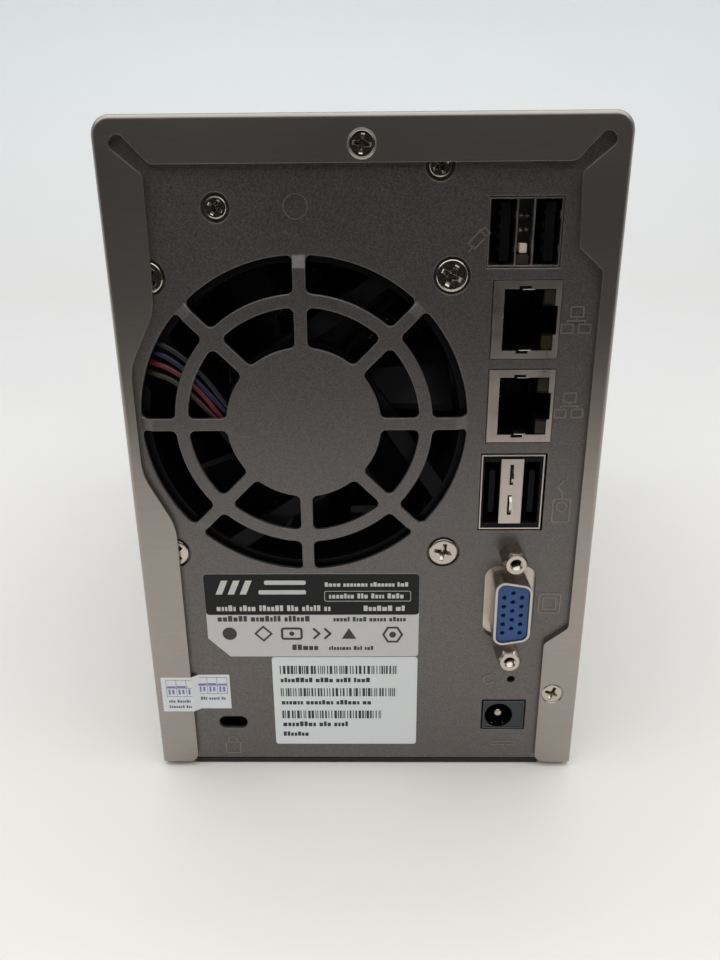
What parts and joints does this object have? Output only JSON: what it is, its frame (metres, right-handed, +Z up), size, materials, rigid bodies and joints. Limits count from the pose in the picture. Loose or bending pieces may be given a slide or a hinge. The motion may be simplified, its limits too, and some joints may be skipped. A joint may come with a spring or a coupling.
{
  "type": "network storage enclosure",
  "caption": "Upright box enclosure for small drives, with a rear fan grille, a column of connectors, and pull-out front trays with swinging levers.",
  "frame": {"origin": "middle of the bottom of the object's box, on the surface it stands on", "axes": "+Z up, the drive trays face -Y, the connector panel faces +Y"},
  "size_m": [0.102, 0.2222, 0.15],
  "materials": {
    "cover_paint": "satin",
    "panel_paint": "satin, fine metallic",
    "plated_steel": "zinc plated",
    "rubber": "matte",
    "nickel": "nickel plated",
    "label_film": "satin film",
    "label_paper": "satin paper",
    "black_plastic": "satin",
    "copper_winding": "enamelled copper",
    "wire_jacket": "satin",
    "circuit_board": "satin",
    "brass": "turned",
    "bare_aluminium": "extruded",
    "connector_shell": "nickel plated",
    "blue_plastic": "satin",
    "bezel_plastic": "satin",
    "dark_glass": "gloss",
    "light_pipe": "clear",
    "tray_plastic": "satin",
    "lever_plastic": "satin"
  },
  "bodies": {
    "enclosure": {"outer_cover": "cover_paint", "rear_panel": "panel_paint", "base_chassis": "plated_steel", "rubber_feet": "rubber", "cover_screws": "nickel", "panel_screws": "nickel", "fan_screws": "nickel", "rating_label": "label_film", "serial_label": "label_paper", "seal_label": "label_paper", "fan_frame": "black_plastic", "fan_stator": "copper_winding", "fan_lead": "wire_jacket", "mainboard": "circuit_board", "board_standoffs": "brass", "board_screws": "nickel", "board_components": "black_plastic", "cpu_heatsink": "bare_aluminium", "board_sockets": "black_plastic", "memory_module": "circuit_board", "coin_cell": "nickel", "usb_shells": "connector_shell", "usb_tongues": "black_plastic", "lan_shells": "connector_shell", "lan_inserts": "black_plastic", "esata_shell": "connector_shell", "esata_insert": "black_plastic", "vga_shell": "connector_shell", "vga_insert": "blue_plastic", "vga_jackscrews": "nickel", "dc_jack_body": "black_plastic", "dc_jack_pin": "nickel", "reset_switch_body": "black_plastic", "front_bezel": "bezel_plastic", "lcd_window": "dark_glass", "lcd_module": "black_plastic", "light_pipes": "light_pipe", "front_board": "circuit_board", "ribbon_cable": "wire_jacket", "drive_cage": "plated_steel", "backplane_board": "circuit_board", "backplane_connectors": "black_plastic"},
    "fan_rotor": {"fan_rotor": "black_plastic"},
    "power_button": {"power_button": "bezel_plastic"},
    "copy_button": {"copy_button": "bezel_plastic"},
    "select_button": {"select_button": "bezel_plastic"},
    "enter_button": {"enter_button": "bezel_plastic"},
    "reset_plunger": {"reset_plunger": "black_plastic"},
    "tray_1": {"tray_1": "tray_plastic"},
    "tray_lever_1": {"tray_lever_1": "lever_plastic"},
    "tray_latch_1": {"tray_latch_1": "lever_plastic"},
    "tray_2": {"tray_2": "tray_plastic"},
    "tray_lever_2": {"tray_lever_2": "lever_plastic"},
    "tray_latch_2": {"tray_latch_2": "lever_plastic"},
    "tray_3": {"tray_3": "tray_plastic"},
    "tray_lever_3": {"tray_lever_3": "lever_plastic"},
    "tray_latch_3": {"tray_latch_3": "lever_plastic"},
    "tray_4": {"tray_4": "tray_plastic"},
    "tray_lever_4": {"tray_lever_4": "lever_plastic"},
    "tray_latch_4": {"tray_latch_4": "lever_plastic"}
  },
  "joints": [
    {"name": "fan_spin", "type": "hinge", "parent": "enclosure", "child": "fan_rotor", "pos_m": [0.0127, 0.0915, 0.0896], "axis": [0, 1, 0], "continuous": true},
    {"name": "power_press", "type": "slide", "parent": "enclosure", "child": "power_button", "axis": [0, 1, 0], "range_m": [0, 0.0005], "stiffness_N_per_m": 1200},
    {"name": "copy_press", "type": "slide", "parent": "enclosure", "child": "copy_button", "axis": [0, 1, 0], "range_m": [0, 0.0005], "stiffness_N_per_m": 1200},
    {"name": "select_press", "type": "slide", "parent": "enclosure", "child": "select_button", "axis": [0, 1, 0], "range_m": [0, 0.0005], "stiffness_N_per_m": 1200},
    {"name": "enter_press", "type": "slide", "parent": "enclosure", "child": "enter_button", "axis": [0, 1, 0], "range_m": [0, 0.0005], "stiffness_N_per_m": 1200},
    {"name": "reset_press", "type": "slide", "parent": "enclosure", "child": "reset_plunger", "axis": [0, -1, 0], "range_m": [0, 0.0005], "stiffness_N_per_m": 800},
    {"name": "tray_slide_1", "type": "slide", "parent": "enclosure", "child": "tray_1", "axis": [0, -1, 0], "range_m": [0, 0.105]},
    {"name": "lever_swing_1", "type": "hinge", "parent": "tray_1", "child": "tray_lever_1", "pos_m": [0.0436, -0.10775, 0.0251], "axis": [0, 0, 1], "range_deg": [0, 75]},
    {"name": "latch_slide_1", "type": "slide", "parent": "tray_1", "child": "tray_latch_1", "axis": [-1, 0, 0], "range_m": [0, 0.0016], "stiffness_N_per_m": 400},
    {"name": "tray_slide_2", "type": "slide", "parent": "enclosure", "child": "tray_2", "axis": [0, -1, 0], "range_m": [0, 0.105]},
    {"name": "lever_swing_2", "type": "hinge", "parent": "tray_2", "child": "tray_lever_2", "pos_m": [0.0436, -0.10775, 0.0491], "axis": [0, 0, 1], "range_deg": [0, 75]},
    {"name": "latch_slide_2", "type": "slide", "parent": "tray_2", "child": "tray_latch_2", "axis": [-1, 0, 0], "range_m": [0, 0.0016], "stiffness_N_per_m": 400},
    {"name": "tray_slide_3", "type": "slide", "parent": "enclosure", "child": "tray_3", "axis": [0, -1, 0], "range_m": [0, 0.105]},
    {"name": "lever_swing_3", "type": "hinge", "parent": "tray_3", "child": "tray_lever_3", "pos_m": [0.0436, -0.10775, 0.0731], "axis": [0, 0, 1], "range_deg": [0, 75]},
    {"name": "latch_slide_3", "type": "slide", "parent": "tray_3", "child": "tray_latch_3", "axis": [-1, 0, 0], "range_m": [0, 0.0016], "stiffness_N_per_m": 400},
    {"name": "tray_slide_4", "type": "slide", "parent": "enclosure", "child": "tray_4", "axis": [0, -1, 0], "range_m": [0, 0.105]},
    {"name": "lever_swing_4", "type": "hinge", "parent": "tray_4", "child": "tray_lever_4", "pos_m": [0.0436, -0.10775, 0.0971], "axis": [0, 0, 1], "range_deg": [0, 75]},
    {"name": "latch_slide_4", "type": "slide", "parent": "tray_4", "child": "tray_latch_4", "axis": [-1, 0, 0], "range_m": [0, 0.0016], "stiffness_N_per_m": 400}
  ]
}
